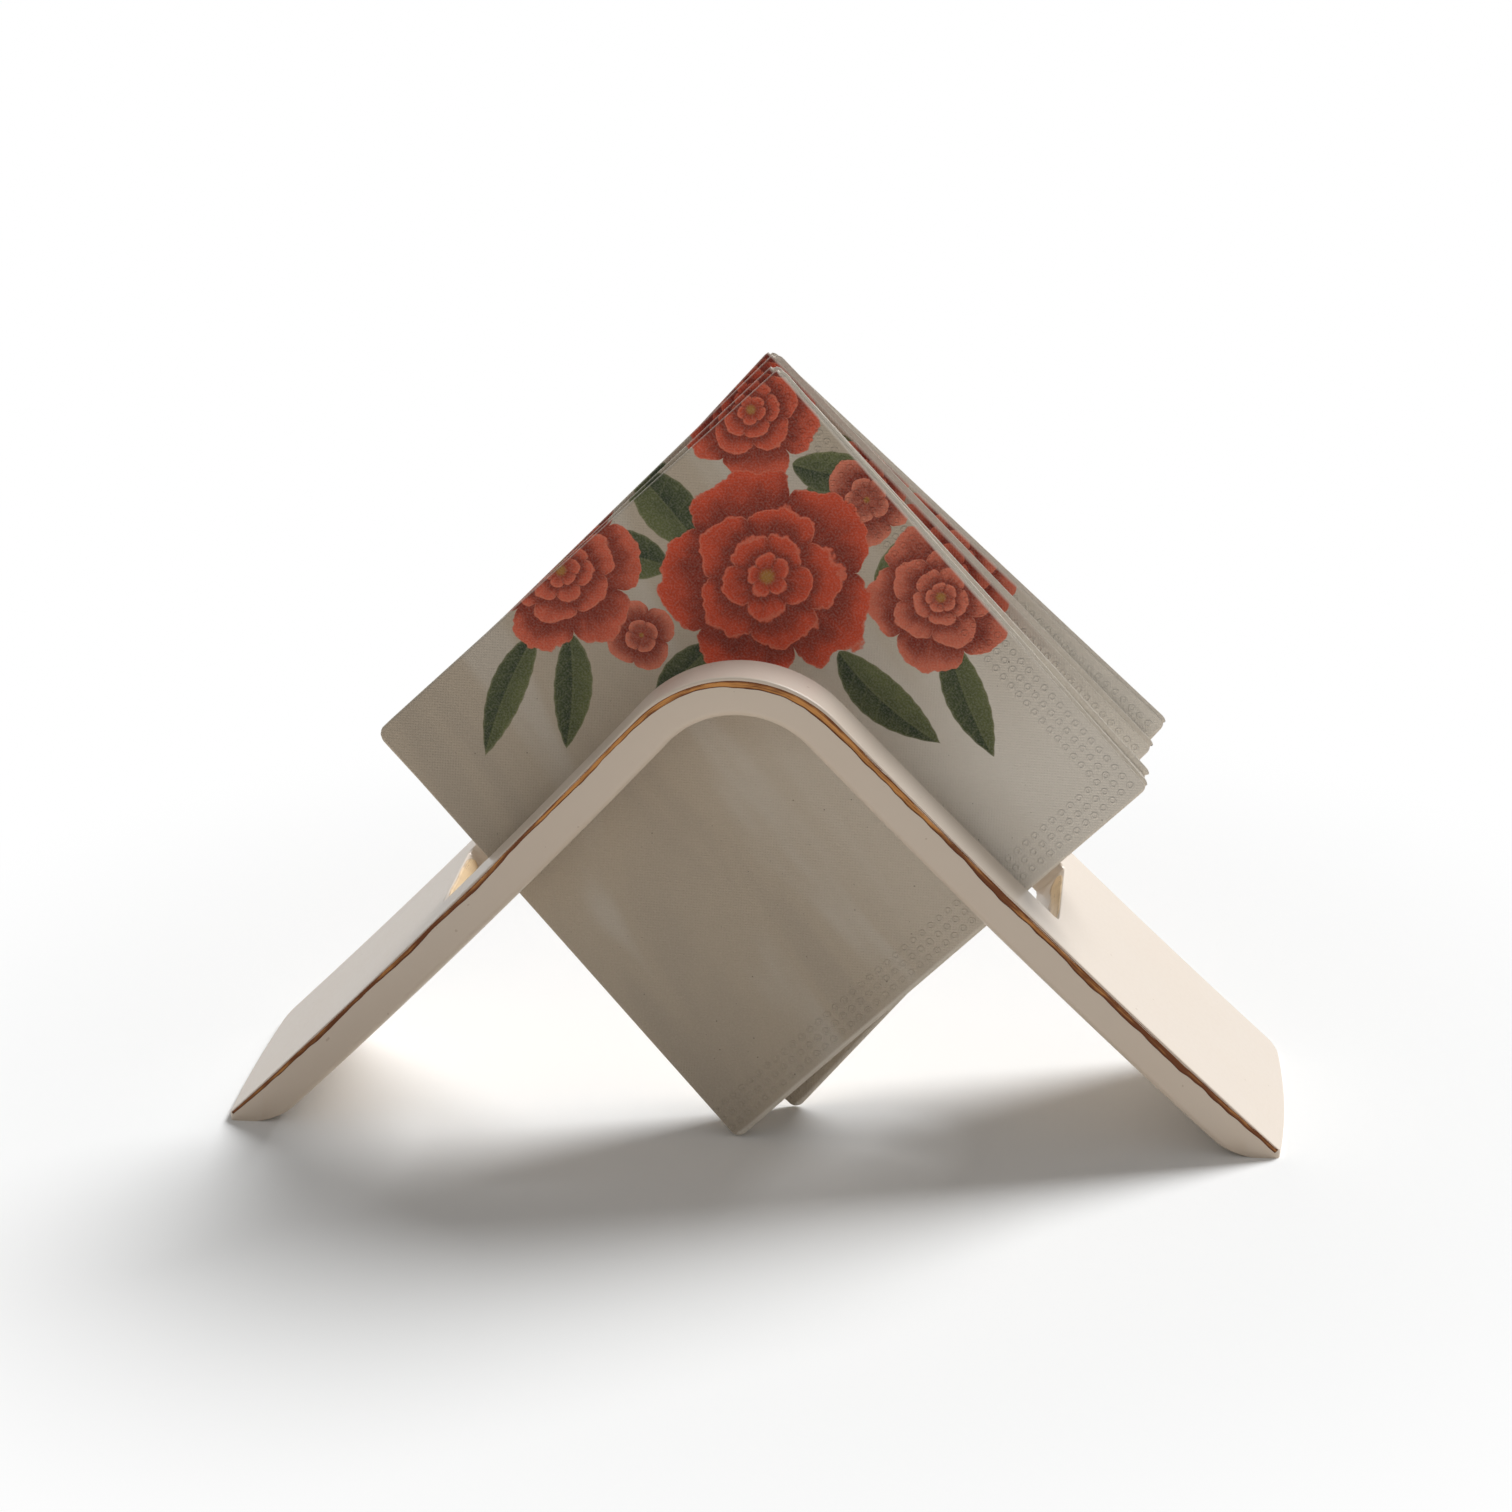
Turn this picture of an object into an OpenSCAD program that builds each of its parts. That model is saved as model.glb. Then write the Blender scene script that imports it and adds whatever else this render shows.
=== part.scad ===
// Napkin holder: one stoneware slab bent into an upturned V, with a long slot
// through it, gold lustre on its edges, and four folded paper napkins that
// stand on a corner in the slot and fan out towards the rear.
// The origin is on the table under the middle of the holder.
// +X runs along the holder to its right foot, +Y to its rear and +Z up.

/* [Holder] */
// Overall length, from the end of one foot to the end of the other
span = 243; // [225:1:275]
// Height of the bend above the table
height = 111; // [104:1:118]
// Depth, from the front face to the rear face
depth = 56; // [52:1:72]
// Thickness of the slab
wall = 9.2; // [6:0.1:12]
// Outer radius of the bend
bend_r = 30; // [22:1:42]
// How far each leg bows inwards at its middle
bow = 1.2; // [0.4:0.1:3]
// Round along the slab's outer long edges
outer_edge_r = 0.6; // [0.3:0.1:1.2]
// Round along the slab's inner long edges
inner_edge_r = 1.8; // [0.6:0.1:2.6]

/* [Feet] */
// Height of the foot's outer edge above the table
tip_rise = 2; // [1.5:0.1:4]
// How far the end of a foot swells out at mid depth
end_crown = 1.5; // [0.5:0.1:2.4]
// Radius of a foot's front corners, seen from above
front_corner_r = 1.2; // [0.5:0.1:4]
// Radius of a foot's rear corners, seen from above
rear_corner_r = 4; // [0.5:0.1:7]
// Radius of the round between the base and the inner face
heel_r = 13; // [4:0.5:16]

/* [Slot] */
// Width of the slot between the front rail and the rear rail
slot_w = 32; // [29:0.5:38]
// Length of leg left whole below each end of the slot
slot_foot = 70; // [50:1:76]
// Radius of the slot's corners
slot_corner_r = 2; // [1:0.1:5]

/* [Gold] */
// Width of the painted line on the front and rear faces
line_w = 2; // [1:0.1:4]
// Thickness of the lustre, drawn thicker than it is so that it shows
lustre_t = 0.15; // [0.1:0.01:0.3]
// Height of the painted patch on each end wall of the slot
patch_h = 3.8; // [2:0.1:5]

/* [Napkins] */
// Side of a folded napkin
napkin_side = 123.5; // [112:0.5:128]
// Thickness of a folded napkin
napkin_t = 1.6; // [1:0.1:2]
// Radius of a folded napkin's corners
napkin_corner_r = 2.2; // [1:0.1:5]
// How far the napkins lean back from upright, in degrees
lean = 13; // [8:0.5:15]
// Clearance round the napkins
napkin_gap = 0.35; // [0.2:0.05:0.6]

/* [Hidden] */

$fn = 96;
// Facets for the leg's long arc, which turns only a few degrees
leg_fn = 2400;
// Cutting bodies reach this far past what they cut
over = 6;

// Napkins from front to rear: the place of the bottom corner along X, the turn
// in the napkin's own plane in degrees, and its share of the fan's free room
corner_x = [-1.7, -0.6, 2.3, 9.6];
turn = [2.6, 1.7, 0.4, -2.5];
fan_share = [0, 0.04, 0.93, 1];

// The bend is an arc about (0, bend_z). Each leg is a long arc that curves the
// other way, is tangent to the bend and passes through the foot's outer edge
bend_z = height - bend_r;
tip_x = span / 2 - end_crown;
tip_drop = bend_z - tip_rise;
tip_reach = sqrt(tip_x * tip_x + tip_drop * tip_drop);
leg_length = sqrt(tip_reach * tip_reach - bend_r * bend_r);
// Rounded, so that the join with the bend stays exact
bow_r = round(leg_length * leg_length / (8 * bow) * 10) / 10;
both_r = bend_r + bow_r;
join_k = (both_r * both_r + tip_reach * tip_reach - bow_r * bow_r) / (2 * both_r);
// Slope of the leg from the level where it leaves the bend, and at its foot
join_slope = atan2(tip_drop, tip_x) + asin(join_k / tip_reach);
bow_x = both_r * sin(join_slope);
bow_z = bend_z + both_r * cos(join_slope);
foot_slope = asin((bow_x - tip_x) / bow_r);
mean_slope = (join_slope + foot_slope) / 2;
// The leg's arc runs on past the foot's outer edge and is cut off there
foot_over = 10;
// The two halves of the bend run past its middle and overlap, in degrees
bend_over = 10;
// Each arm of the slot runs from its end wall up the leg and over the bend
slot_arm = leg_length - slot_foot + 2 * bend_r;

// Ends of the feet, seen from above
end_r = (depth * depth / 4 + end_crown * end_crown) / (2 * end_crown);
end_centre_x = span / 2 - end_r;

// The painted line starts where the face goes flat below its edge round
line_inset = outer_edge_r;
// The painted line and patches stop short of the table and of the corners
line_floor = 0.5;
patch_inset = 0.4;

// Where the inner face of a straight leg would meet the table, drawn in by the bow
inner_foot_x = tip_x + tip_rise / tan(mean_slope) - (wall + bow) / sin(mean_slope);
// Height of the centre of the napkins' bottom corner round
corner_z = napkin_gap + napkin_corner_r * cos(lean) + napkin_t / 2 * sin(lean);
// Height at which the front napkin's lower edge crosses the leg's inner face,
// on the side where the edge has the slope a and starts at x
function crossing_z(a, x) =
    (inner_foot_x - x + (corner_z / cos(lean) - napkin_corner_r / cos(a)) / tan(a))
    / (1 / tan(mean_slope) + 1 / (tan(a) * cos(lean)));
contact_z = min(crossing_z(45 - turn[0], corner_x[0]), crossing_z(45 + turn[0], -corner_x[0]));

// Places of the napkins' middle planes along Y, on X = 0 at the holder's height
half_t = napkin_t / (2 * cos(lean));
front_y = -slot_w / 2 + napkin_gap + half_t + (height - contact_z) * tan(lean);
pitch = 2.04 * half_t + napkin_gap;
left_reach = napkin_side / sqrt(2);
last = len(turn) - 1;
free_y = slot_w / 2 - napkin_gap - 1.02 * half_t - front_y - last * pitch;
widest = free_y / left_reach;
room = free_y - bend_r * (sqrt(tan(lean) * tan(lean) + widest * widest) - tan(lean));

// Place along Y of each middle plane, and how it moves back along X
function plane_y(i) = front_y + i * pitch + fan_share[i] * room;
function plane_slope(i) = fan_share[i] * room / left_reach;
function napkin_place(i) = [
    corner_x[i],
    plane_y(i) + plane_slope(i) * corner_x[i] - (height - corner_z) * tan(lean),
    corner_z];

ceramic_colour = [0.92, 0.88, 0.83];
gold_colour = [0.72, 0.48, 0.22];
paper_colour = [0.80, 0.77, 0.72];

// Turns a shape made about Z so that it lies about Y at the bend's centre, with
// its X axis on the line where the bend meets the right leg
module about_bend() {
    translate([0, 0, bend_z])
        rotate([90, 0, 0])
            rotate([0, 0, 90 - join_slope])
                children();
}

// Sweeps a profile over the right half of the bend and a little past its middle
module bend_sweep() {
    about_bend()
        rotate_extrude(angle = join_slope + bend_over)
            children();
}

// Turns a shape made about Z so that it lies about the centre of the leg's arc,
// with its X axis at an angle down the leg from the bend
module about_bow(angle) {
    about_bend()
        translate([both_r, 0, 0])
            rotate([0, 0, 180 + angle])
                children();
}

// Sweeps a profile along the right leg, from the bend to the angle past the foot
module leg_sweep(past) {
    about_bow(0)
        rotate_extrude(angle = join_slope - foot_slope + past, $fn = leg_fn)
            children();
}

// Stands a child on the right leg's outer face, at a length up from the foot:
// +X goes into the wall, +Y down the leg and +Z to the front
module on_leg(up) {
    about_bow(join_slope - foot_slope - up / bow_r * 180 / PI)
        translate([bow_r, 0, 0])
            children();
}

module both_sides() {
    children();
    mirror([1, 0, 0])
        children();
}

// The slab's cross section, from its outer face at x_out to its inner face at x_in
module slab_profile(x_out, x_in) {
    way = sign(x_in - x_out);
    x_a = x_out + way * outer_edge_r;
    x_b = x_in - way * inner_edge_r;
    middle = abs(x_b - x_a);
    translate([(x_a + x_b) / 2, 0])
        square([middle, depth], center = true);
    translate([(x_out + x_a) / 2, 0])
        square([outer_edge_r, depth - 2 * outer_edge_r], center = true);
    translate([(x_in + x_b) / 2, 0])
        square([inner_edge_r, depth - 2 * inner_edge_r], center = true);
    for (side = [-1, 1]) {
        translate([x_a, side * (depth / 2 - outer_edge_r)])
            circle(outer_edge_r);
        translate([x_b, side * (depth / 2 - inner_edge_r)])
            circle(inner_edge_r);
    }
}

// What a round of radius r about the origin leaves of the corner between the
// directions a1 and a2
module corner_waste(r, a1, a2) {
    far = 2 * r;
    mid = (a1 + a2) / 2;
    difference() {
        polygon([[0, 0],
                 far * [cos(a1), sin(a1)],
                 2 * far * [cos(mid), sin(mid)],
                 far * [cos(a2), sin(a2)]]);
        circle(r);
    }
}

// X of the centre of a foot's corner round with the radius r
function corner_centre_x(r) =
    end_centre_x + sqrt((end_r - r) * (end_r - r) - (depth / 2 - r) * (depth / 2 - r));

// One rounded corner of the plan, at the right foot, on the side of the sign
module plan_corner(r, side) {
    x = corner_centre_x(r);
    y = depth / 2 - r;
    translate([x, side * y])
        corner_waste(r, side * 90, side * atan2(y, x - end_centre_x));
}

// The holder seen from above: crowned ends with rounded corners
module plan() {
    difference() {
        intersection() {
            square([span + over, depth + over], center = true);
            translate([end_centre_x, 0])
                circle(end_r, $fn = leg_fn);
            translate([-end_centre_x, 0])
                circle(end_r, $fn = leg_fn);
        }
        both_sides() {
            plan_corner(front_corner_r, -1);
            plan_corner(rear_corner_r, 1);
        }
    }
}

// What the heel's round takes off the corner between the base and the inner face
module heel_waste() {
    arc_r = bow_r + wall - heel_r;
    fall = bow_z - heel_r;
    x = bow_x - sqrt(arc_r * arc_r - fall * fall);
    translate([x, depth / 2 + over, heel_r])
        rotate([90, 0, 0])
            linear_extrude(depth + 2 * over)
                corner_waste(heel_r, 270 - atan2(bow_x - x, fall), 270);
}

// One arm of the slot, seen square to the leg, with its end wall at x = 0
module slot_arm_plan() {
    translate([-slot_arm, -slot_w / 2])
        square([slot_arm - slot_corner_r, slot_w]);
    translate([-slot_corner_r, -slot_w / 2 + slot_corner_r])
        square([slot_corner_r, slot_w - 2 * slot_corner_r]);
    for (side = [-1, 1])
        translate([-slot_corner_r, side * (slot_w / 2 - slot_corner_r)])
            circle(slot_corner_r);
}

// The body of air that makes the slot: two arms that cross in the bend
module slot() {
    both_sides()
        on_leg(slot_foot)
            translate([-over, 0, 0])
                rotate([90, 0, 90])
                    linear_extrude(over + bend_r)
                        slot_arm_plan();
}

module holder_body() {
    color(ceramic_colour)
        difference() {
            intersection() {
                both_sides() {
                    bend_sweep()
                        slab_profile(bend_r, bend_r - wall);
                    leg_sweep(foot_over / bow_r * 180 / PI)
                        slab_profile(bow_r, bow_r + wall);
                }
                linear_extrude(height + over)
                    plan();
            }
            slot();
            both_sides()
                heel_waste();
        }
}

// The painted line on the face whose outward direction has the sign of side;
// it ends where the corner round of radius r begins
module gold_line(side, r) {
    face = side * (depth / 2 + lustre_t / 2);
    color(gold_colour)
        intersection() {
            both_sides() {
                bend_sweep()
                    translate([bend_r - line_inset - line_w / 2, -face])
                        square([line_w, lustre_t], center = true);
                leg_sweep(foot_over / bow_r * 180 / PI)
                    translate([bow_r + line_inset + line_w / 2, -face])
                        square([line_w, lustre_t], center = true);
            }
            translate([0, 0, line_floor + height / 2])
                cube([2 * corner_centre_x(r), depth + over, height], center = true);
        }
}

// The painted patch on the slot's right end wall
module slot_gold() {
    long = slot_w - 2 * slot_corner_r - patch_h;
    on_leg(slot_foot)
        translate([patch_inset + patch_h / 2, 0, 0])
            rotate([90, 90, 0])
                linear_extrude(lustre_t) {
                    square([long, patch_h], center = true);
                    for (side = [-1, 1])
                        translate([side * long / 2, 0])
                            circle(patch_h / 2);
                }
}

module left_slot_gold() {
    color(gold_colour)
        mirror([1, 0, 0])
            slot_gold();
}

module right_slot_gold() {
    color(gold_colour)
        slot_gold();
}

// A square with rounded corners, standing on the centre of its lowest round
module napkin_outline() {
    flat = napkin_side - 2 * napkin_corner_r;
    rotate(45) {
        translate([0, -napkin_corner_r])
            square([flat, napkin_side]);
        translate([-napkin_corner_r, 0])
            square([napkin_side, flat]);
        for (x = [0, flat], y = [0, flat])
            translate([x, y])
                circle(napkin_corner_r);
    }
}

// A folded napkin, counted from the front
module napkin(i) {
    color(paper_colour)
        translate(napkin_place(i))
            rotate([-lean, 0, 0])
                rotate([0, 0, atan(plane_slope(i) * cos(lean))])
                    rotate([90, turn[i], 0])
                        translate([0, 0, -napkin_t / 2])
                            linear_extrude(napkin_t)
                                napkin_outline();
}

holder_body();
gold_line(-1, front_corner_r);  // front_gold_line
gold_line(1, rear_corner_r);  // rear_gold_line
left_slot_gold();
right_slot_gold();
napkin(0);  // napkin_1
napkin(1);  // napkin_2
napkin(2);  // napkin_3
napkin(3);  // napkin_4
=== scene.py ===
"""Finishes for a napkin holder: its glaze, its gold lustre, its folded paper napkins and the stage.

The file is laid out as an add-on and run as a script. It dresses the packed model, which
stays as it is. Shapes and the print are worked out in millimetres, and the stage in metres.
"""

from math import (
    asin, atan, atan2, copysign, cos, exp, hypot, pi, radians, sin, sqrt, tan, tanh, tau)

import bmesh
import bpy
from bpy.props import FloatProperty, FloatVectorProperty, IntProperty, PointerProperty
from mathutils import Matrix, Vector, noise


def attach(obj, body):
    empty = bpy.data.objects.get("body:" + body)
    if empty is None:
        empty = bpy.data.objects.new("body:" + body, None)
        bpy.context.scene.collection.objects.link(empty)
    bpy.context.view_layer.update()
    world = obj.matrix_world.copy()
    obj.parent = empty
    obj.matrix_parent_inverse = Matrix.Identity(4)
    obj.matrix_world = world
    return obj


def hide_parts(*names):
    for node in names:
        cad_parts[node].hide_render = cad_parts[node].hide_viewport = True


bl_info = {
    "name": "Napkin holder finishes",
    "version": (1, 0, 0),
    "blender": (4, 5, 0),
    "location": "3D View > Sidebar > Holder",
    "description": "Glaze, gold lustre, folded napkins and stage for a napkin holder",
    "category": "Object",
}

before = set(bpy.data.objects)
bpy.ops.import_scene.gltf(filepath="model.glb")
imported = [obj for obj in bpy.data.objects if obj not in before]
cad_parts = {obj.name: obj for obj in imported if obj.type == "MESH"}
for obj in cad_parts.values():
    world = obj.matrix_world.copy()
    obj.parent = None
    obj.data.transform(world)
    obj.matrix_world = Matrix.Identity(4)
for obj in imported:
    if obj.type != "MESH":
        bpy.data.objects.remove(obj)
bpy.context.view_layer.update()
MM = 0.001


# Sizes and colours that a user would change

class HolderSizes(bpy.types.PropertyGroup):
    """The holder's own sizes, as the packed model has them"""

    span_mm: FloatProperty(name="Length", description="Length over both feet", default=243.0)
    height_mm: FloatProperty(name="Height", description="Height of the bend", default=111.0)
    depth_mm: FloatProperty(name="Depth", description="Front face to rear face", default=56.0)
    wall_mm: FloatProperty(name="Wall", description="Thickness of the slab", default=9.2)
    bend_mm: FloatProperty(name="Bend radius", description="Outer radius of the bend", default=30.0)
    bow_mm: FloatProperty(name="Bow", description="Inward bow of each leg", default=1.2)
    tip_mm: FloatProperty(name="Tip height", description="Height of a foot's edge", default=2.0)
    crown_mm: FloatProperty(name="Crown", description="Swell of the foot's end", default=1.5)
    slot_mm: FloatProperty(name="Slot width", description="Width of the slot", default=32.0)
    slot_foot_mm: FloatProperty(name="Slot foot", description="Leg below the slot", default=70.0)
    slot_corner_mm: FloatProperty(
        name="Slot corner", description="Round of the slot's corners", default=2.0)
    slot_edge_mm: FloatProperty(
        name="Slot edge", description="Round of the glaze over the slot's edges", default=0.35)
    edge_mm: FloatProperty(name="Edge round", description="Round of outer long edges", default=0.6)
    inner_edge_mm: FloatProperty(
        name="Inner edge round", description="Round of inner long edges", default=1.8)
    front_corner_mm: FloatProperty(
        name="Front corner", description="Round of a foot's front corner", default=1.2)
    rear_corner_mm: FloatProperty(
        name="Rear corner", description="Round of a foot's rear corner", default=4.0)
    heel_mm: FloatProperty(
        name="Heel round", description="Round between base and inner face", default=13.0)


class GoldSizes(bpy.types.PropertyGroup):
    """The painted lustre"""

    line_mm: FloatProperty(name="Line width", description="Mean width of the line", default=1.7)
    film_mm: FloatProperty(name="Film", description="How far the lustre stands proud", default=0.07)
    patch_mm: FloatProperty(
        name="Patch height", description="Painted height of a slot end wall", default=3.8)


class NapkinSizes(bpy.types.PropertyGroup):
    """The folded napkins"""

    side_mm: FloatProperty(name="Side", description="Side of the folded napkin", default=123.5)
    corner_mm: FloatProperty(name="Corner radius", description="Round of the corners", default=2.2)
    thick_mm: FloatProperty(
        name="Space", description="Thickness that the packed model keeps for a napkin", default=1.6)
    gap_mm: FloatProperty(name="Clearance", description="Clearance round the napkins", default=0.35)
    lean_deg: FloatProperty(name="Lean", description="Lean back, in degrees", default=13.0)
    ply_mm: FloatProperty(name="Paper", description="Thickness of one layer", default=0.24)
    pitch_mm: FloatProperty(name="Layer pitch", description="From layer to layer", default=0.40)
    cells: IntProperty(
        name="Cells", description="Cells along a side of the open sheet", default=116, min=40)


class FinishColours(bpy.types.PropertyGroup):
    """Colours as linear values"""

    glaze: FloatVectorProperty(
        name="Glaze", description="Cream glaze", subtype="COLOR", default=(0.71, 0.636, 0.555))
    glaze_warm: FloatVectorProperty(
        name="Warm glaze", description="Where the glaze is thin", subtype="COLOR",
        default=(0.70, 0.57, 0.45))
    lustre: FloatVectorProperty(
        name="Lustre", description="Gold lustre", subtype="COLOR", default=(0.46, 0.21, 0.062))
    lustre_dark: FloatVectorProperty(
        name="Lustre edge", description="Brown rim of the lustre", subtype="COLOR",
        default=(0.13, 0.042, 0.015))
    paper: FloatVectorProperty(
        name="Paper", description="Printed face of the paper", subtype="COLOR",
        default=(0.545, 0.475, 0.385))
    paper_core: FloatVectorProperty(
        name="Paper core", description="Edges and inside of the paper", subtype="COLOR",
        default=(0.86, 0.82, 0.75))
    coral: FloatVectorProperty(
        name="Coral", description="Petals", subtype="COLOR", default=(0.70, 0.085, 0.035))
    blush: FloatVectorProperty(
        name="Blush", description="Petal rims", subtype="COLOR", default=(0.78, 0.27, 0.18))
    maroon: FloatVectorProperty(
        name="Maroon", description="Petal shade", subtype="COLOR", default=(0.24, 0.035, 0.022))
    leaf: FloatVectorProperty(
        name="Leaf", description="Leaf green", subtype="COLOR", default=(0.15, 0.175, 0.075))
    leaf_dark: FloatVectorProperty(
        name="Dark leaf", description="Leaf shade", subtype="COLOR", default=(0.035, 0.055, 0.030))


class StageSettings(bpy.types.PropertyGroup):
    """Light and floor"""

    sun: FloatProperty(name="Key light", description="Strength of the sun", default=3.15)
    sun_angle: FloatProperty(
        name="Key size", description="Angle it fills", default=0.52, subtype="ANGLE")
    ambient: FloatProperty(name="Ambient", description="Light from all round", default=0.26)
    bounce: FloatProperty(name="Bounce", description="Light the floor gives back", default=0.94)


GROUPS = (
    ("holder_sizes", HolderSizes),
    ("gold_sizes", GoldSizes),
    ("napkin_sizes", NapkinSizes),
    ("finish_colours", FinishColours),
    ("stage_settings", StageSettings),
)


# Node graphs

class Graph:
    """Adds nodes to a tree and wires them."""

    def __init__(self, tree):
        self.tree = tree

    def put(self, socket, source):
        if isinstance(source, bpy.types.NodeSocket):
            self.tree.links.new(source, socket)
        elif socket.type == "RGBA" and len(source) == 3:
            socket.default_value = (*source, 1.0)
        else:
            socket.default_value = source

    def add(self, kind, *terms, **settings):
        """A new node with its settings, whose first inputs take the terms in order."""
        node = self.tree.nodes.new(kind)
        for name, value in settings.items():
            setattr(node, name, value)
        for socket, term in zip(node.inputs, terms):
            self.put(socket, term)
        return node

    def math(self, operation, *terms):
        return self.add("ShaderNodeMath", *terms, operation=operation).outputs[0]

    def times(self, a, b):
        return self.math("MULTIPLY", a, b)

    def plus(self, a, b):
        return self.math("ADD", a, b)

    def minus(self, a, b):
        return self.math("SUBTRACT", a, b)

    def times_plus(self, a, b, c):
        return self.math("MULTIPLY_ADD", a, b, c)

    def size(self, a):
        return self.math("ABSOLUTE", a)

    def vector(self, operation, *terms):
        node = self.add("ShaderNodeVectorMath", *terms, operation=operation)
        return node.outputs["Value" if operation == "LENGTH" else "Vector"]

    def scaled(self, vector, scale):
        node = self.add("ShaderNodeVectorMath", vector, operation="SCALE")
        return self.feed(node, Scale=scale)["Vector"]

    def split(self, vector):
        return self.add("ShaderNodeSeparateXYZ", vector).outputs

    def join(self, *terms):
        return self.add("ShaderNodeCombineXYZ", *terms).outputs[0]

    def ramp(self, value, low, high, to_low=0.0, to_high=1.0):
        terms = (value, low, high, to_low, to_high)
        return self.add("ShaderNodeMapRange", *terms, interpolation_type="SMOOTHSTEP").outputs[0]

    def mix(self, factor, a, b):
        # Inputs 6 and 7 and output 2 are the node's colours
        node = self.add("ShaderNodeMix", factor, data_type="RGBA")
        self.put(node.inputs[6], a)
        self.put(node.inputs[7], b)
        return node.outputs[2]

    def blend(self, factor, first, second):
        return self.add("ShaderNodeMixShader", factor, first, second).outputs[0]

    def feed(self, node, **values):
        """Feeds a node's inputs by name, with _ for a space, and returns its outputs."""
        for name, value in values.items():
            self.put(node.inputs[name.replace("_", " ")], value)
        return node.outputs

    def noise(self, vector, scale, detail=3.0, roughness=0.5, distortion=0.0):
        node = self.add("ShaderNodeTexNoise", vector)
        self.feed(node, Scale=scale, Detail=detail, Roughness=roughness, Distortion=distortion)
        return node.outputs["Fac"]

    def bump(self, height, strength, distance):
        node = self.add("ShaderNodeBump")
        return self.feed(node, Strength=strength, Distance=distance, Height=height)[0]

    def use(self, group, **values):
        return self.feed(self.add("ShaderNodeGroup", node_tree=group), **values)


FLOAT, VECTOR, COLOUR = "NodeSocketFloat", "NodeSocketVector", "NodeSocketColor"


def new_group(name, inputs, outputs):
    """A node group with its graph, and its input and output sockets."""
    tree = bpy.data.node_groups.new(name, "ShaderNodeTree")
    for way, sockets in (("INPUT", inputs), ("OUTPUT", outputs)):
        for label, kind in sockets.items():
            tree.interface.new_socket(name=label, in_out=way, socket_type=kind)
    graph = Graph(tree)
    return tree, graph, graph.add("NodeGroupInput").outputs, graph.add("NodeGroupOutput").inputs


def empty_graph(owner):
    """The graph of a material or a world, with its nodes cleared."""
    owner.use_nodes = True
    owner.node_tree.nodes.clear()
    return Graph(owner.node_tree)


def new_material(name):
    """A material with a Principled BSDF, its graph and that node."""
    material = bpy.data.materials.new(name)
    graph = empty_graph(material)
    shader = graph.add("ShaderNodeBsdfPrincipled")
    graph.add("ShaderNodeOutputMaterial", shader.outputs[0])
    return material, graph, shader


def uneven_group():
    """Slow, hand-made unevenness of a surface, with a fine grain on it."""
    tree, g, given, out = new_group(
        "Hand-made unevenness",
        {"Vector": VECTOR, "Wave size": FLOAT, "Grain size": FLOAT},
        {"Wave": FLOAT, "Grain": FLOAT},
    )
    wave = g.scaled(given["Vector"], g.math("DIVIDE", 1.0, given["Wave size"]))
    grain = g.scaled(given["Vector"], g.math("DIVIDE", 1.0, given["Grain size"]))
    g.put(out["Wave"], g.noise(wave, 1.0, 2.0))
    g.put(out["Grain"], g.noise(grain, 1.0, 3.0, 0.6))
    return tree


# Tiers of petals from the outside in: size and turn
FULL_BLOOM = ((1.0, 0.0), (0.67, 0.95), (0.40, 1.75), (0.21, 2.6))
SMALL_BLOOM = ((1.0, 0.0), (0.48, 0.8))
# Small details of the print and the glaze, and the pale colours that paint light on the paper's
# open corner and on the slot's gold patches, as linear colours
BLOOM_HEART = (0.42, 0.20, 0.05)
LEAF_RIB = (0.19, 0.21, 0.10)
LEAF_RIM = (0.34, 0.33, 0.19)
LIGHT_WASH = (0.64, 0.60, 0.54)
DARK_WASH = (0.46, 0.405, 0.34)
# Paper colour towards the open corner: painted light
OPEN_CORNER_PAINTED_LIGHT = (0.88, 0.85, 0.79)
PAPER_FLECK = (0.14, 0.11, 0.085)
GLAZE_SPECK = (0.35, 0.24, 0.16)
# Pale gold of the slot's end patches: painted light
PATCH_GOLD_PAINTED_LIGHT = (1.0, 0.80, 0.52)
# Repeats of the embossing: the linen and the rings
LINEN_MM, RING_MM = 0.85, 2.6


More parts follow.
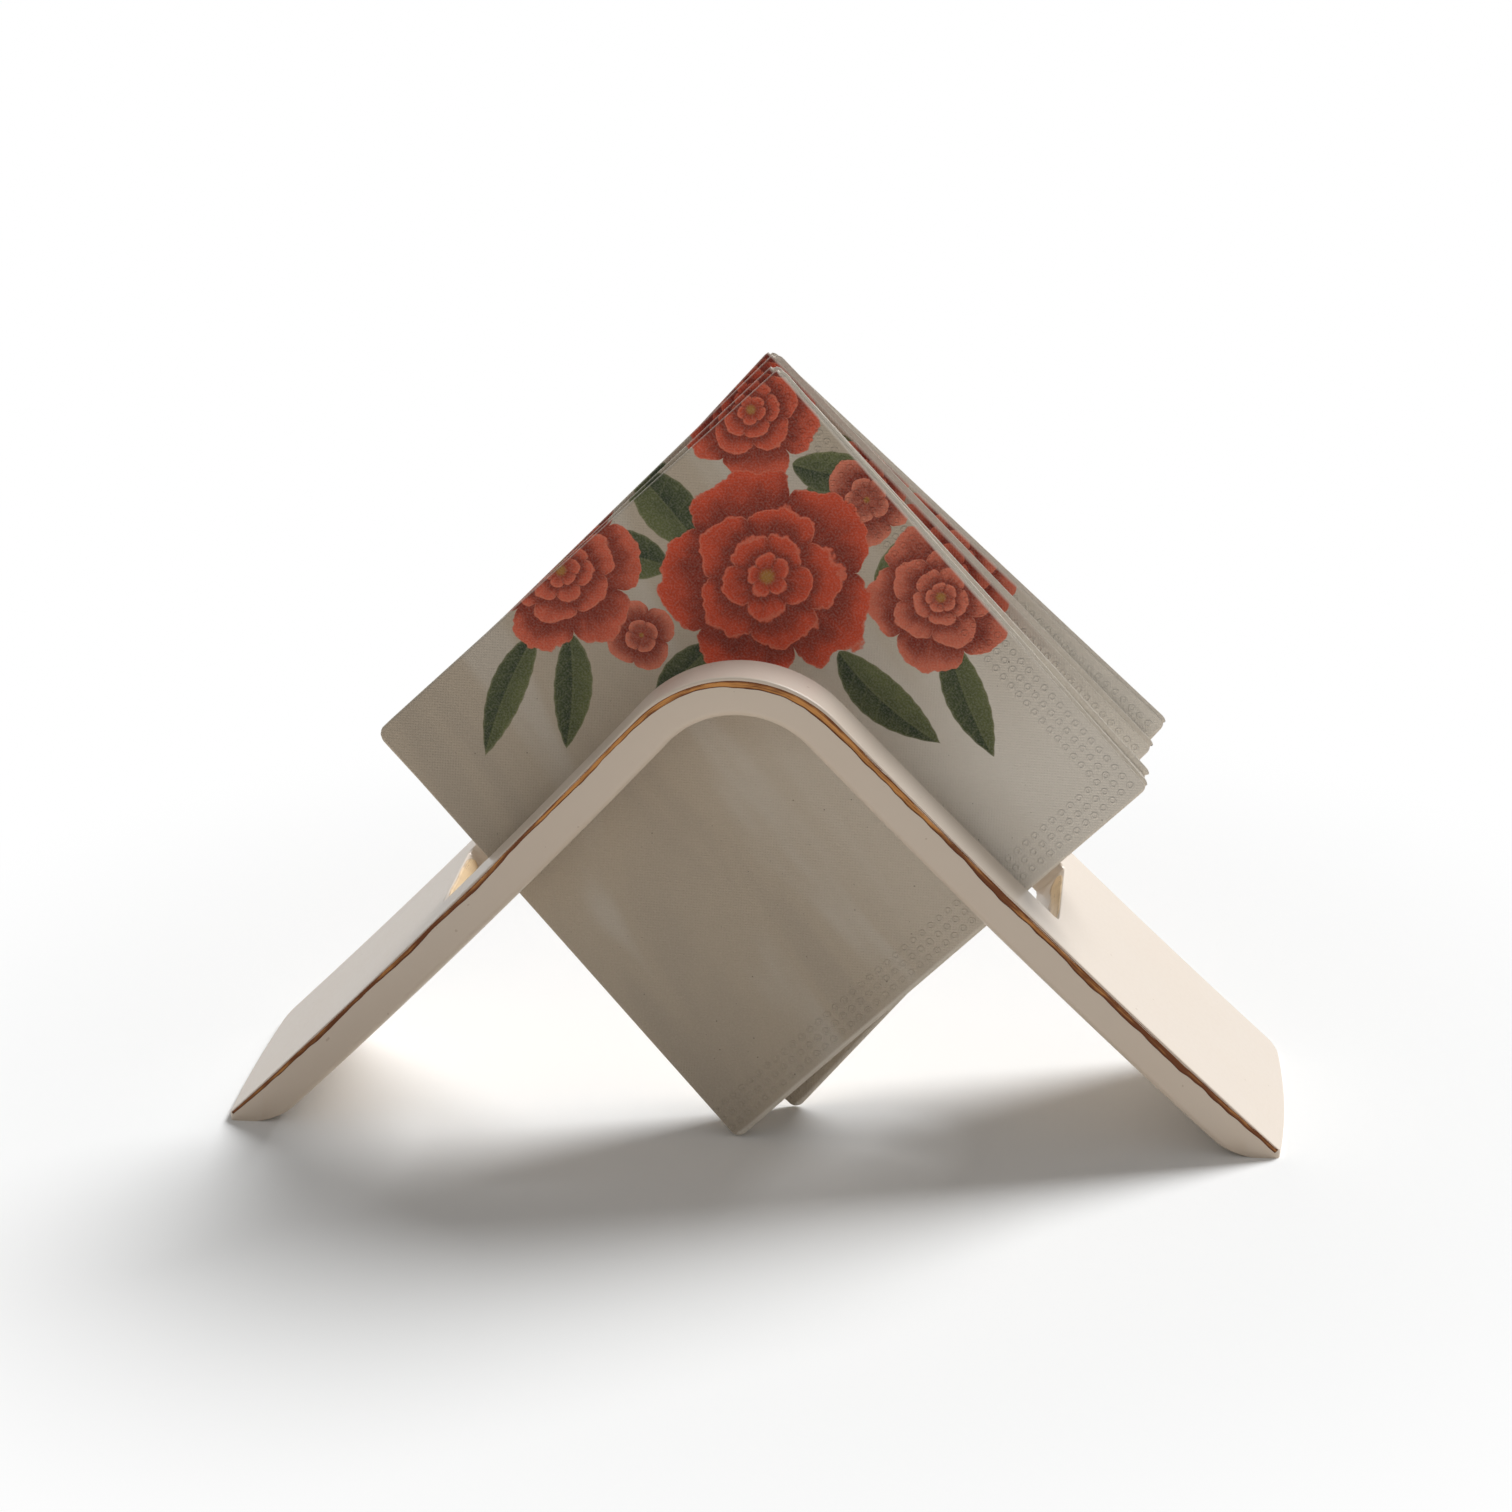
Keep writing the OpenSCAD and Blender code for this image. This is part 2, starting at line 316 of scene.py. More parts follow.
def bloom_group(name, sizes):
    """An open flower seen from above, in tiers of petals, painted over the colour under it."""
    tree, g, given, out = new_group(
        name,
        {"Vector": VECTOR, "Centre": VECTOR, "Radius": FLOAT, "Petals": FLOAT, "Turn": FLOAT,
         "Under": COLOUR, "Shade": COLOUR, "Petal": COLOUR, "Rim": COLOUR},
        {"Color": COLOUR},
    )
    away = g.vector("SUBTRACT", given["Vector"], given["Centre"])
    axes = g.split(away)
    reach = g.math("DIVIDE", g.vector("LENGTH", away), given["Radius"])
    angle = g.math("ARCTAN2", axes[1], axes[0])
    ripple = g.noise(g.scaled(given["Vector"], 0.13), 1.0, 3.0, 0.55)
    sway = g.minus(ripple, 0.5)
    along_petal = g.join(g.times(angle, 6.0), g.times(reach, 1.8), given["Radius"])
    streak = g.noise(along_petal, 1.0, 4.0, 0.6)
    tiers = []
    for size, turn in sizes:
        turned = g.plus(g.times(angle, 0.5), g.plus(given["Turn"], turn))
        wave = g.math("COSINE", g.times(turned, given["Petals"]))
        petal = g.math("POWER", g.size(wave), 0.42)
        edge = g.times_plus(petal, 0.27 * size, 0.72 * size)
        tiers.append((size, petal, g.times_plus(sway, 0.38 * size**0.4, edge)))
    shade, rim = 0.0, 0.0
    for number, (size, petal, edge) in enumerate(tiers):
        depth = g.minus(edge, reach)
        inside = g.ramp(depth, -0.006, 0.012)
        # A petal is lightest at its rim and dark where it dips under the next tier
        tone = g.ramp(depth, 0.0, 0.34 * size**0.6, 1.0, 0.30)
        if number + 1 < len(tiers):
            under = g.minus(reach, tiers[number + 1][2])
            tone = g.times(tone, g.ramp(under, 0.0, 0.24 * size, 0.16, 1.0))
        tone = g.times(tone, g.ramp(petal, 0.28, 0.80, 0.35, 1.0))
        before = g.times(g.minus(1.0, inside), shade)
        shade = g.plus(g.times(inside, tone), before)
        line = g.ramp(g.size(g.minus(depth, 0.014)), 0.0, 0.020, 1.0, 0.0)
        rim = g.math("MAXIMUM", line, g.times(rim, g.minus(1.0, inside)))
    shade = g.times_plus(g.minus(streak, 0.5), 0.6, shade)
    petals = g.mix(shade, given["Shade"], given["Petal"])
    petals = g.mix(g.times(rim, 0.40), petals, given["Rim"])
    heart = g.ramp(g.times_plus(streak, 0.08, reach), 0.07, 0.13, 1.0, 0.0)
    petals = g.mix(heart, petals, BLOOM_HEART)
    cover = g.ramp(g.minus(tiers[0][2], reach), 0.0, 0.015)
    g.put(out["Color"], g.mix(cover, given["Under"], petals))
    return tree


def leaf_group():
    """A curved, pointed leaf with veins and a pale rim, painted over the colour under it."""
    tree, g, given, out = new_group(
        "Pointed leaf",
        {"Vector": VECTOR, "Stem": VECTOR, "Angle": FLOAT, "Length": FLOAT, "Width": FLOAT,
         "Curl": FLOAT, "Under": COLOUR, "Shade": COLOUR, "Blade": COLOUR},
        {"Color": COLOUR},
    )
    away = g.split(g.vector("SUBTRACT", given["Vector"], given["Stem"]))
    turn = given["Angle"]
    ahead, aside = g.math("COSINE", turn), g.math("SINE", turn)
    along = g.plus(g.times(away[0], ahead), g.times(away[1], aside))
    across = g.minus(g.times(away[1], ahead), g.times(away[0], aside))
    t = g.math("MINIMUM", g.math("MAXIMUM", g.math("DIVIDE", along, given["Length"]), 0.0), 1.0)
    squared, curl = g.times(t, t), g.times(given["Curl"], given["Length"])
    across = g.minus(across, g.times(squared, curl))
    beside = g.size(across)
    # Widest a third of the way up, with a softly toothed edge, and drawn out to the tip
    swell = g.times(g.math("POWER", t, 0.6), g.minus(1.0, g.math("POWER", t, 1.8)))
    tooth = g.times(g.math("SINE", g.times(along, 1.9)), 0.07)
    half = g.times_plus(g.times(swell, 1.75), given["Width"], tooth)
    depth = g.minus(half, beside)
    side = g.ramp(across, -0.6, 0.6, 0.12, 0.62)
    bulge = g.ramp(g.math("DIVIDE", beside, given["Width"]), 0.05, 0.75, 0.0, 0.30)
    mottle = g.noise(g.scaled(given["Vector"], 0.24), 1.0, 4.0, 0.6)
    tone = g.times_plus(g.minus(mottle, 0.5), 0.8, g.plus(side, bulge))
    mid = g.ramp(beside, 0.08, 0.38, 1.0, 0.0)
    fall = g.times(g.math("DIVIDE", beside, given["Width"]), -1.1)
    rib = g.math("FRACT", g.times_plus(t, 7.5, fall))
    ribs = g.ramp(g.size(g.minus(rib, 0.5)), 0.02, 0.12, 0.45, 0.0)
    green = g.mix(tone, given["Shade"], given["Blade"])
    green = g.mix(g.times(g.math("MAXIMUM", mid, ribs), 0.45), green, LEAF_RIB)
    green = g.mix(g.ramp(depth, 0.15, 0.75, 0.40, 0.0), green, LEAF_RIM)
    g.put(out["Color"], g.mix(g.ramp(depth, 0.02, 0.30), given["Under"], green))
    return tree


def emboss_group():
    """Height of the embossing: a fine linen, and rows of rings along the open edges."""
    tree, g, given, out = new_group(
        "Paper embossing", {"Vector": VECTOR, "Side": FLOAT}, {"Height": FLOAT})
    axes = g.split(given["Vector"])
    waves = [g.math("SINE", g.times(axis, tau / LINEN_MM)) for axis in axes[:2]]
    linen = g.times(*waves)
    deep = g.minus(given["Side"], g.math("MAXIMUM", axes[0], axes[1]))
    band = g.times(g.ramp(deep, 1.2, 1.8), g.ramp(deep, 9.0, 9.6, 1.0, 0.0))
    repeat = g.vector("FRACTION", g.scaled(given["Vector"], 1 / RING_MM))
    cell = g.vector("SUBTRACT", repeat, (0.5, 0.5, 0.0))
    flat = g.vector("MULTIPLY", cell, (1.0, 1.0, 0.0))
    spread = g.times(g.vector("LENGTH", flat), RING_MM)
    ring = g.ramp(g.size(g.minus(spread, 0.62)), 0.08, 0.34, 1.0, 0.0)
    fibre = g.noise(g.scaled(given["Vector"], 1.6), 1.0, 3.0, 0.65)
    rings = g.times(g.times(ring, band), 0.22)
    height = g.times_plus(linen, 0.05, rings)
    g.put(out["Height"], g.times_plus(fibre, 0.16, height))
    return tree


# Finishes

# Motifs of the print, in millimetres over a quarter of the open sheet. X runs from
# the second fold and Y from the first one
BLOOMS = (
    # centre, radius, petals, turn, how pale
    ((33.0, 91.0), 25.0, 5.0, 0.50, 0.05),
    ((1.0, 57.0), 19.0, 6.0, 0.00, 0.35),
    ((62.0, 117.0), 17.0, 5.0, 1.10, 0.60),
    ((3.0, 113.0), 16.0, 5.0, 2.20, 0.20),
    ((35.0, 119.0), 10.5, 5.0, 0.30, 0.80),
    ((24.0, 61.0), 8.0, 4.0, 0.90, 0.75),
)
# Blooms up to this radius have fewer tiers
SMALL_RADIUS = 12.0
LEAVES = (
    # stem, angle in degrees, length, width, curl
    ((46.0, 76.0), -38.0, 12.0, 4.0, 0.18),
    ((36.0, 72.0), -82.0, 18.0, 5.5, -0.14),
    ((56.0, 92.0), -6.0, 30.0, 6.5, 0.22),
    ((70.0, 112.0), -28.0, 28.0, 5.8, 0.14),
    ((17.0, 76.0), -150.0, 24.0, 7.0, 0.12),
    ((13.0, 49.0), -34.0, 26.0, 5.6, -0.18),
    ((8.0, 43.0), -74.0, 30.0, 5.2, 0.16),
    ((14.0, 100.0), 115.0, 22.0, 8.0, 0.10),
    ((26.0, 108.0), 70.0, 20.0, 6.5, -0.15),
    ((18.0, 112.0), 30.0, 20.0, 6.0, 0.20),
    ((18.0, 84.0), 176.0, 24.0, 7.5, 0.05),
    ((50.0, 108.0), 80.0, 20.0, 6.2, 0.12),
)


def glaze_material(colours):
    """Cream glaze over a warmer body, slightly uneven and flecked."""
    material, g, shader = new_material("Cream glaze")
    place = g.add("ShaderNodeTexCoord").outputs["Object"]
    slow = g.use(uneven_group(), Vector=place, Wave_size=0.028, Grain_size=0.0011)
    shade = g.ramp(slow["Wave"], 0.25, 0.75)
    base = g.mix(g.times(shade, 0.14), colours.glaze, colours.glaze_warm)
    # Warmer and a little darker over the last 1.8 mm before the front and rear faces, and on those
    # faces
    axes = g.split(place)
    rim = g.ramp(g.size(axes[1]), 0.0262, 0.0280, 0.0, 0.22)
    base = g.mix(rim, base, colours.glaze_warm)
    speck = g.noise(g.scaled(place, 620.0), 1.0, 1.0, 0.4)
    base = g.mix(g.ramp(speck, 0.79, 0.81, 0.0, 0.35), base, GLAZE_SPECK)
    rough = g.ramp(slow["Grain"], 0.3, 0.7, 0.36, 0.46)
    height = g.times_plus(slow["Grain"], 0.03, g.times(slow["Wave"], 0.55))
    bump = g.bump(height, 0.5, 0.0012)
    g.feed(shader, Base_Color=base, Roughness=rough, Normal=bump)
    g.feed(shader, Coat_Weight=0.25, Coat_Roughness=0.22)
    return material


def lustre_material(colours, name, pale, apex):
    """Brushed-on lustre: U runs along the stroke in millimetres, V across it from 0 to 1."""
    material, g, shader = new_material(name)
    stroke = g.add("ShaderNodeUVMap", uv_map="stroke").outputs[0]
    axes = g.split(stroke)
    middle = g.size(g.times_plus(axes[1], 2.0, -1.0))
    hair_place = g.join(g.times(axes[0], 0.05), g.times(axes[1], 6.0), 0.0)
    hair = g.noise(hair_place, 1.0, 4.0, 0.7)
    blot_place = g.join(g.times(axes[0], 0.10), g.times(axes[1], 0.6), 3.0)
    blot = g.noise(blot_place, 1.0, 3.0, 0.6)
    # Painted light: the slot's end patches are painted pale, as if lit, and so show less of the
    # brown rim and streaks
    brown_share = 1.0 - 0.75 * pale
    rim = g.ramp(middle, 0.35, 0.98, 0.12 * brown_share, 0.90 * brown_share)
    # The line is browner down the legs than over the bend, whose middle is at the run apex
    from_apex = g.size(g.minus(axes[0], apex))
    down = g.ramp(from_apex, 40.0, 75.0, 0.0, 0.42 * brown_share)
    brown = g.plus(rim, down)
    worn = g.times_plus(g.minus(hair, 0.5), 2.6 * brown_share, brown)
    dark = g.times_plus(g.minus(blot, 0.42), 3.0 * brown_share, worn)
    # Pale gold with painted light, for the slot's end patches
    gold = g.mix(pale, colours.lustre, PATCH_GOLD_PAINTED_LIGHT)
    base = g.mix(g.ramp(dark, 0.0, 1.0), gold, colours.lustre_dark)
    rough, bump = g.ramp(hair, 0.3, 0.7, 0.26, 0.44), g.bump(hair, 0.35, 0.0003)
    # The pale patches are less metallic, so their painted light isn't darkened by reflections of
    # the napkins
    g.feed(shader, Base_Color=base, Metallic=0.75 - 0.6 * pale, Roughness=rough, Normal=bump)
    return material


def paper_material(colours, side):
    """The printed face: embossed tissue with a spray of flowers in each folded corner."""
    material, g, shader = new_material("Printed napkin paper")
    sheet = g.add("ShaderNodeUVMap", uv_map="sheet").outputs[0]
    open_mm = g.scaled(g.vector("SUBTRACT", sheet, (0.5, 0.5, 0.0)), 2.0 * side)
    quarter = g.vector("ABSOLUTE", open_mm)
    axes = g.split(quarter)
    # Washes brushed along one edge, on a ground that is painted paler towards the open corner:
    # painted light, where the fanned layers catch the light
    across = g.times_plus(axes[0], 0.16, axes[1])
    wash_place = g.join(across, g.times(axes[0], 0.22), 0.0)
    wash = g.noise(g.scaled(wash_place, 0.050), 1.0, 2.0, 0.5, 0.6)
    base = g.mix(g.ramp(wash, 0.50, 0.64, 0.0, 0.60), colours.paper, LIGHT_WASH)
    base = g.mix(g.ramp(wash, 0.34, 0.48, 0.45, 0.0), base, DARK_WASH)
    # Painted light: the open corner, where the layers fan out, is painted pale
    painted_light_near_corner = g.ramp(g.math("MINIMUM", axes[0], axes[1]), 40.0, 112.0, 0.0, 0.92)
    base = g.mix(painted_light_near_corner, base, OPEN_CORNER_PAINTED_LIGHT)
    fleck = g.noise(g.scaled(open_mm, 1.3), 1.0, 0.0)
    base = g.mix(g.ramp(fleck, 0.855, 0.875, 0.0, 0.6), base, PAPER_FLECK)
    leaf = leaf_group()
    bloom, small = bloom_group("Full bloom", FULL_BLOOM), bloom_group("Small bloom", SMALL_BLOOM)
    greens = {"Shade": colours.leaf_dark, "Blade": colours.leaf}
    for stem, angle, length, width, curl in LEAVES:
        place = {"Vector": quarter, "Stem": (*stem, 0.0), "Under": base}
        shape = {"Angle": radians(angle), "Length": length, "Width": width, "Curl": curl}
        base = g.use(leaf, **place, **shape, **greens)["Color"]
    for centre, radius, petals, turn, pale in reversed(BLOOMS):
        petal = tuple(a + (b - a) * pale for a, b in zip(colours.coral, colours.blush))
        place = {"Vector": quarter, "Centre": (*centre, 0.0), "Radius": radius, "Under": base}
        reds = {"Shade": colours.maroon, "Petal": petal, "Rim": colours.blush}
        group = bloom if radius > SMALL_RADIUS else small
        base = g.use(group, **place, Petals=petals, Turn=turn, **reds)["Color"]
    weave = g.noise(g.scaled(open_mm, 2.2), 1.0, 2.0)
    base = g.mix(g.ramp(weave, 0.35, 0.75, 0.0, 0.11), base, colours.paper_core)
    # The ink cracks along the folds and the cut edges show the plain paper
    near_fold = g.math("MINIMUM", axes[0], axes[1])
    near_edge = g.minus(side, g.math("MAXIMUM", axes[0], axes[1]))
    folds = g.ramp(near_fold, 0.15, 0.75, 0.55, 0.0)
    edges = g.ramp(near_edge, 0.15, 0.9, 0.85, 0.0)
    base = g.mix(g.math("MAXIMUM", folds, edges), base, colours.paper_core)
    bump = g.bump(g.use(emboss_group(), Vector=quarter, Side=side)["Height"], 0.9, 0.0008)
    g.feed(shader, Base_Color=base, Roughness=0.92, Specular_IOR_Level=0.2, Normal=bump)
    return material


def core_material(colours):
    """The plain inside and the cut edges of the paper."""
    material, g, shader = new_material("Plain napkin paper")
    place = g.add("ShaderNodeTexCoord").outputs["Object"]
    slow = g.use(uneven_group(), Vector=place, Wave_size=0.006, Grain_size=0.0005)
    shade = g.ramp(slow["Grain"], 0.3, 0.7, 0.0, 0.25)
    base, bump = g.mix(shade, colours.paper_core, colours.paper), g.bump(slow["Grain"], 0.5, 0.0002)
    g.feed(shader, Base_Color=base, Roughness=0.95, Specular_IOR_Level=0.15, Normal=bump)
    return material


# Shapes

class SideLine:
    """The holder's outer face seen from the side, as the packed model has it, in millimetres."""

    def __init__(self, sizes):
        self.bend = sizes.bend_mm
        self.bend_z = sizes.height_mm - sizes.bend_mm
        tip_x = sizes.span_mm / 2 - sizes.crown_mm
        drop = self.bend_z - sizes.tip_mm
        reach = hypot(tip_x, drop)
        leg = sqrt(reach**2 - self.bend**2)
        self.bow = round(leg**2 / (8 * sizes.bow_mm) * 10) / 10
        both = self.bend + self.bow
        lift = (both**2 + reach**2 - self.bow**2) / (2 * both)
        self.join = atan2(drop, tip_x) + asin(lift / reach)
        self.centre = (both * sin(self.join), self.bend_z + both * cos(self.join))
        self.foot = asin((self.centre[0] - tip_x) / self.bow)
        self.bend_run = self.bend * self.join
        self.run = self.bend_run + self.bow * (self.join - self.foot)
        self.tip_x = tip_x
        self.slope = (self.join + self.foot) / 2
        self.slot_run = self.run - sizes.slot_foot_mm

    def run_to(self, x):
        """The run at which the outer face of the leg reaches an X."""
        return self.bend_run + self.bow * (self.join - asin((self.centre[0] - x) / self.bow))

    def at(self, run, inward):
        """X, Z and the outward normal at a run from the apex, a distance inward of the face."""
        side, run = (-1.0 if run < 0 else 1.0), abs(run)
        if run <= self.bend_run:
            angle = run / self.bend
            out = (sin(angle), cos(angle))
            x, z = self.bend * out[0], self.bend_z + self.bend * out[1]
        else:
            angle = self.join - (run - self.bend_run) / self.bow
            out = (sin(angle), cos(angle))
            x, z = self.centre[0] - self.bow * out[0], self.centre[1] - self.bow * out[1]
        return side * (x - inward * out[0]), z - inward * out[1], side * out[0], out[1]


def placed(name, data):
    """A new object in the scene, at the origin."""
    made = bpy.data.objects.new(name, data)
    bpy.context.scene.collection.objects.link(made)
    return made


def mesh_from(name, bm):
    """Turns a bmesh in metres into a mesh and frees it."""
    mesh = bpy.data.meshes.new(name)
    bm.to_mesh(mesh)
    bm.free()
    return mesh


def finished(name, bm, body, node, materials):
    """Makes the piece, rides it on its body and puts it in its node's place."""
    piece = placed(name, mesh_from(name, bm))
    for material in materials:
        piece.data.materials.append(material)
    for face in piece.data.polygons:
        face.use_smooth = True
    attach(piece, body)
    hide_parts(node)
    return piece


def brush_stroke(name, node, place, length, width, film, material, columns=420, rows=6):
    """A painted stroke: a thin grid laid along a line, with uneven edges. In millimetres,
    place(u, d) is the point at a run u, a distance d across, and width(u) its two edges."""
    start, end = length
    bm = bmesh.new()
    bmesh.ops.create_grid(bm, x_segments=columns, y_segments=rows, size=1.0)
    layer = bm.loops.layers.uv.new("stroke")
    grid = {vert: ((vert.co.x + 1) / 2, (vert.co.y + 1) / 2) for vert in bm.verts}
    for face in bm.faces:
        for loop in face.loops:
            s, t = grid[loop.vert]
            loop[layer].uv = (s * (end - start), t)
    for vert, (s, t) in grid.items():
        run = start + s * (end - start)
        low, high = width(run)
        vert.co = Vector(place(run, low + t * (high - low))) * MM
    bmesh.ops.recalc_face_normals(bm, faces=bm.faces)
    bmesh.ops.solidify(bm, geom=bm.faces[:], thickness=-film * MM)
    bmesh.ops.recalc_face_normals(bm, faces=bm.faces)
    finished(name, bm, "holder", node, [material])


def wobble(run, seed, size):
    """A smooth, repeatable wander from -1 to 1 along a stroke."""
    return noise.noise(Vector((run / size, seed, 0.37))) * 1.6


# The painted line: its share of the mean width at the left and what it gains to the right,
# how much it thins at its ends, its upper edge on the legs and its drop over the bend
LEFT_SHARE, RIGHT_MORE, WIDEN_MM = 0.66, 0.40, 25.0
END_THINS, END_MM = 0.35, 16.0
LINE_TOP_MM, BEND_LOWER_MM, BEND_MM = 0.22, 0.50, 34.0
# The painted patches: their upper edge, and their distance from the slot's sides
PATCH_TOP_MM, PATCH_SIDE_MM = 0.35, 2.2
# Air between the lustre and the glaze, and between the line's ends and the table
LINE_AIR_MM, PATCH_AIR_MM, TABLE_AIR_MM = 0.005, 0.004, 0.5


def line_edges(run, end, mean, seed):
    """The two edges of a painted line at a run, as distances across it."""
    right = 0.5 + 0.5 * tanh(run / WIDEN_MM)
    mean *= LEFT_SHARE + RIGHT_MORE * right
    mean *= 1.0 - END_THINS * exp(-((abs(run) - end) / END_MM) ** 2)
    bend = exp(-((run / BEND_MM) ** 4))
    low = LINE_TOP_MM + BEND_LOWER_MM * bend + 0.10 * wobble(run, seed, 17.0)
    wide = 1.0 + 0.24 * wobble(run, seed + 4.0, 11.0) + 0.10 * wobble(run, seed + 9.0, 3.0)
    return low, low + mean * wide


def patch_edges(y, reach, height, seed):
    """The two edges of a painted patch at a depth Y. It tapers towards the slot's corners."""
    half = height / 2 * sqrt(max(0.0, 1.0 - (y / reach) ** 6))
    middle = PATCH_TOP_MM + height / 2
    low = middle - half * (1.0 + 0.06 * wobble(y, seed, 5.0))
    return low, middle + half * (1.0 + 0.22 * wobble(y, seed + 3.0, 4.0))


def corner_round(a, b, radius, side):
    """Takes a point of a square from 0 to side into the square with rounded corners."""
    ca = min(max(a, radius), side - radius)
    cb = min(max(b, radius), side - radius)
    da, db = a - ca, b - cb
    if da and db:
        share = max(abs(da), abs(db)) / hypot(da, db)
        da, db = da * share, db * share
    return ca + da, cb + db


# Grid lines of half a sheet: distances from its fold, and from its cut edge
FOLD_LINES = (0.0, 0.08, 0.16, 0.24, 0.32, 0.44, 0.58, 0.74, 0.92, 1.15, 1.5, 2.1)
CUT_LINES = (2.2, 1.6, 1.05, 0.6, 0.25, 0.0)


def sheet_lines(side, cells):
    """Distances from the fold to all grid lines of half the sheet, even between its two ends."""
    between = cells // 2 - len(FOLD_LINES) - len(CUT_LINES) + 1
    last = FOLD_LINES[-1]
    step = (side - CUT_LINES[0] - last) / between
    even = [last + step * k for k in range(1, between)]
    return [*FOLD_LINES, *even, *(side - d for d in CUT_LINES)]


def fall_away(distance, radius):
    """How far a face has dropped at a distance from the start of its rounded edge."""
    rest = max(0.0, radius - distance)
    return radius - sqrt(radius**2 - rest**2)


def foot_end(sizes, y):
    """X of the right foot's crowned end at a depth Y."""
    half = sizes.depth_mm / 2
    end_r = (half**2 + sizes.crown_mm**2) / (2 * sizes.crown_mm)
    middle = sizes.span_mm / 2 - end_r
    r = sizes.front_corner_mm if y < 0 else sizes.rear_corner_mm
    corner_x = middle + sqrt((end_r - r) ** 2 - (half - r) ** 2)
    if abs(y) > end_r * sin(atan2(half - r, corner_x - middle)):
        return corner_x + sqrt(max(0.0, r**2 - (abs(y) - half + r) ** 2))
    return middle + sqrt(end_r**2 - y**2)


# Grid lines of the slab: distances from its middle, from a long edge, on both sides of the
# slot's edge, and beyond the slot's ends
MIDDLE_LINES = (0.0, 3.5, 7.0, 10.5)
EDGE_LINES = (0.0, 0.04, 0.12, 0.25, 0.42, 0.6, 0.85, 1.15, 1.5, 1.8, 2.4, 3.2, 4.0, 6.0, 8.0)
SLOT_LINES = (-2.0, -1.6, -1.2, -0.8, -0.4, 0.0, 0.05, 0.15, 0.35, 0.7, 1.3, 2.2)
BEYOND_LINES = (4.0, 6.0)
# Steps to the slot's end, and below it along the inner side's face, heel and base
SLOT_STEPS, FACE_STEPS, HEEL_STEPS, BASE_STEPS = 56, 30, 12, 6
# Sharper edges of the slab are shaded as edges
SHARP_DEG = 40.0


def slab(sizes, material):
    """The holder as one closed surface: a plan of the slab with its slot, bent and given a wall."""
    line = SideLine(sizes)
    half, slot = sizes.depth_mm / 2, sizes.slot_mm / 2
    rows = [*MIDDLE_LINES, *(slot + d for d in SLOT_LINES)]
    rows += [half - d for d in reversed(EDGE_LINES)]
    rows = [-y for y in reversed(rows[1:])] + rows
    start = line.slot_run + SLOT_LINES[0]
    runs = [start * k / SLOT_STEPS for k in range(SLOT_STEPS)]
    runs += [line.slot_run + d for d in SLOT_LINES + BEYOND_LINES]
    free = FACE_STEPS + HEEL_STEPS + BASE_STEPS
    reach = len(runs) - 1 + free
    # The heel's round touches the inner face and the table
    heel = sizes.heel_mm
    fall = line.centre[1] - heel
    heel_x = line.centre[0] - sqrt((line.bow + sizes.wall_mm - heel) ** 2 - fall**2)
    heel_turn = atan2(line.centre[0] - heel_x, fall)
    heel_run = line.bend_run + line.bow * (line.join - heel_turn)

    def outer(k, y, drop):
        if k < len(runs):
            return line.at(runs[k], drop)[:2]
        share = (k - len(runs) + 1) / free
        end = line.run_to(foot_end(sizes, y))
        return line.at(runs[-1] + share * (end - runs[-1]), drop)[:2]

    def inner(k, y, drop):
        if k < len(runs):
            return line.at(runs[k], sizes.wall_mm - drop)[:2]
        step = k - len(runs) + 1
        if step <= FACE_STEPS:
            run = runs[-1] + step / FACE_STEPS * (heel_run - runs[-1])
            return line.at(run, sizes.wall_mm - drop)[:2]
        step -= FACE_STEPS
        if step <= HEEL_STEPS:
            left = 1.0 - step / HEEL_STEPS
            r = heel - drop * left
            return heel_x - r * sin(heel_turn * left), heel - r * cos(heel_turn * left)
        share = (step - HEEL_STEPS) / BASE_STEPS
        return heel_x + share * (foot_end(sizes, y) - heel_x), 0.0

    bm = bmesh.new()
    bmesh.ops.create_grid(bm, x_segments=2 * reach, y_segments=len(rows) - 1, size=1.0)

    # The grid's columns are steps from the apex, and its rows are depths
    def cell(vert):
        return round(vert.co.x * reach), rows[round((vert.co.y + 1) / 2 * (len(rows) - 1))]

    def in_slot(vert):
        k, y = cell(vert)
        return abs(k) < len(runs) and runs[abs(k)] <= line.slot_run and abs(y) <= slot

    cut_out = [face for face in bm.faces if all(in_slot(vert) for vert in face.verts)]
    bmesh.ops.delete(bm, geom=cut_out, context="FACES")
    made = bmesh.ops.extrude_face_region(bm, geom=bm.faces[:], use_keep_orig=True)["geom"]
    top = {item for item in made if isinstance(item, bmesh.types.BMVert)}
    rho = sizes.slot_corner_mm
    for vert in bm.verts:
        k, y = cell(vert)
        side, way, k = (-1.0 if k < 0 else 1.0), (-1.0 if y < 0 else 1.0), abs(k)
        # How far the slot's rounded corner shifts the point, and its distance from the slot
        shift, edge = 0.0, sizes.slot_edge_mm
        if k < len(runs):
            along, across = runs[k] - line.slot_run + rho, abs(y) - slot + rho
            if in_slot(vert) and along > 0.0 and across > 0.0:
                share = max(along, across) / hypot(along, across)
                shift, y = along * (share - 1.0), way * (slot - rho + across * share)
                edge = 0.0
            else:
                edge = max(0.0, hypot(max(along, 0.0), max(across, 0.0)) - rho)
        long_edge = half - abs(y)
        slot_drop = fall_away(edge, sizes.slot_edge_mm)
        if vert in top:
            x, z = outer(k, y, max(fall_away(long_edge, sizes.edge_mm), slot_drop))
        else:
            x, z = inner(k, y, max(fall_away(long_edge, sizes.inner_edge_mm), slot_drop))
        if shift:
            x, z = x + shift * cos(line.slope), z - shift * sin(line.slope)
        vert.co = Vector((side * x, y, max(z, 0.0))) * MM
    bmesh.ops.recalc_face_normals(bm, faces=bm.faces)
    piece = finished("glazed_slab", bm, "holder", "holder_body", [material])
    piece.data.set_sharp_from_angle(angle=radians(SHARP_DEG))


